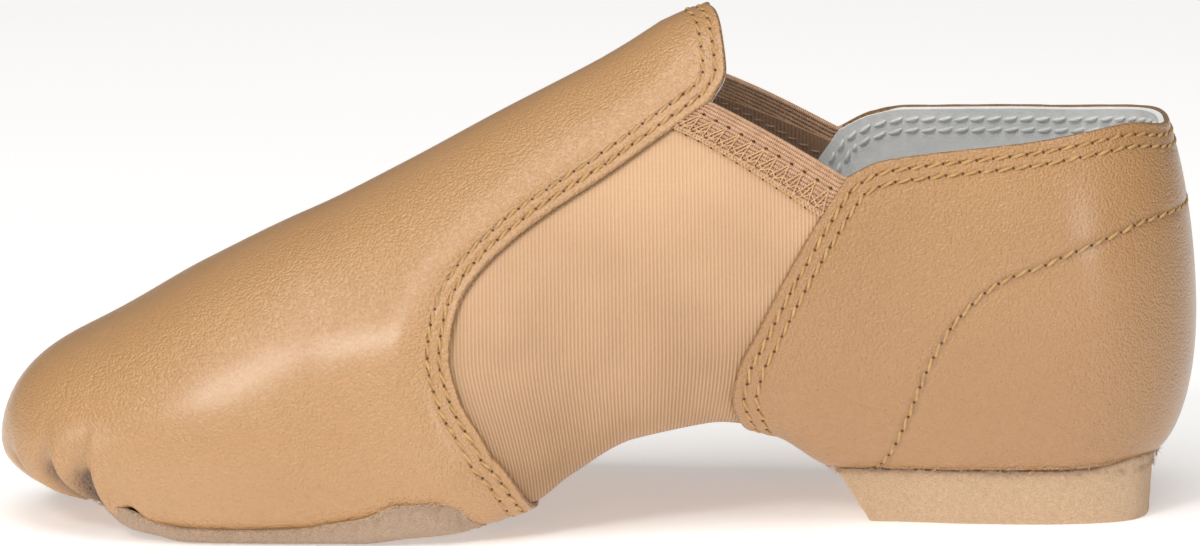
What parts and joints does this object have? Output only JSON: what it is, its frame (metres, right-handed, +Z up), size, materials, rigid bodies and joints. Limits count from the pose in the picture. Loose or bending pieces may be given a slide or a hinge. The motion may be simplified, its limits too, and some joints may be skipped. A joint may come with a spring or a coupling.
{
  "type": "jazz shoe",
  "caption": "slip-on jazz dance shoe for a right foot: soft leather vamp and quarter over elastic gores, split sole with a suede forefoot patch and a low block heel, open collar",
  "frame": {"origin": "middle of the bounding box in plan, at the floor that the patch and the heel stand on", "axes": "+X from toe to heel, -Y the medial side and +Y the lateral side of a right foot, +Z up"},
  "size_m": [0.2526, 0.0888, 0.1077],
  "materials": {
    "leather": "smooth tan leather, fine grain, soft semi-gloss",
    "gore_knit": "fine ribbed stretch knit, pale tan, matte",
    "elastic": "woven elastic tape with lengthwise ribs, matte",
    "suede": "rough napped suede, matte",
    "sock_lining": "pale grey lining cloth, matte"
  },
  "bodies": {
    "root": {"upper": "gore_knit", "vamp": "leather", "quarter": "leather", "elastic_medial": "elastic", "elastic_lateral": "elastic", "forefoot_patch": "suede", "heel": "suede", "insole": "sock_lining"}
  },
  "joints": []
}
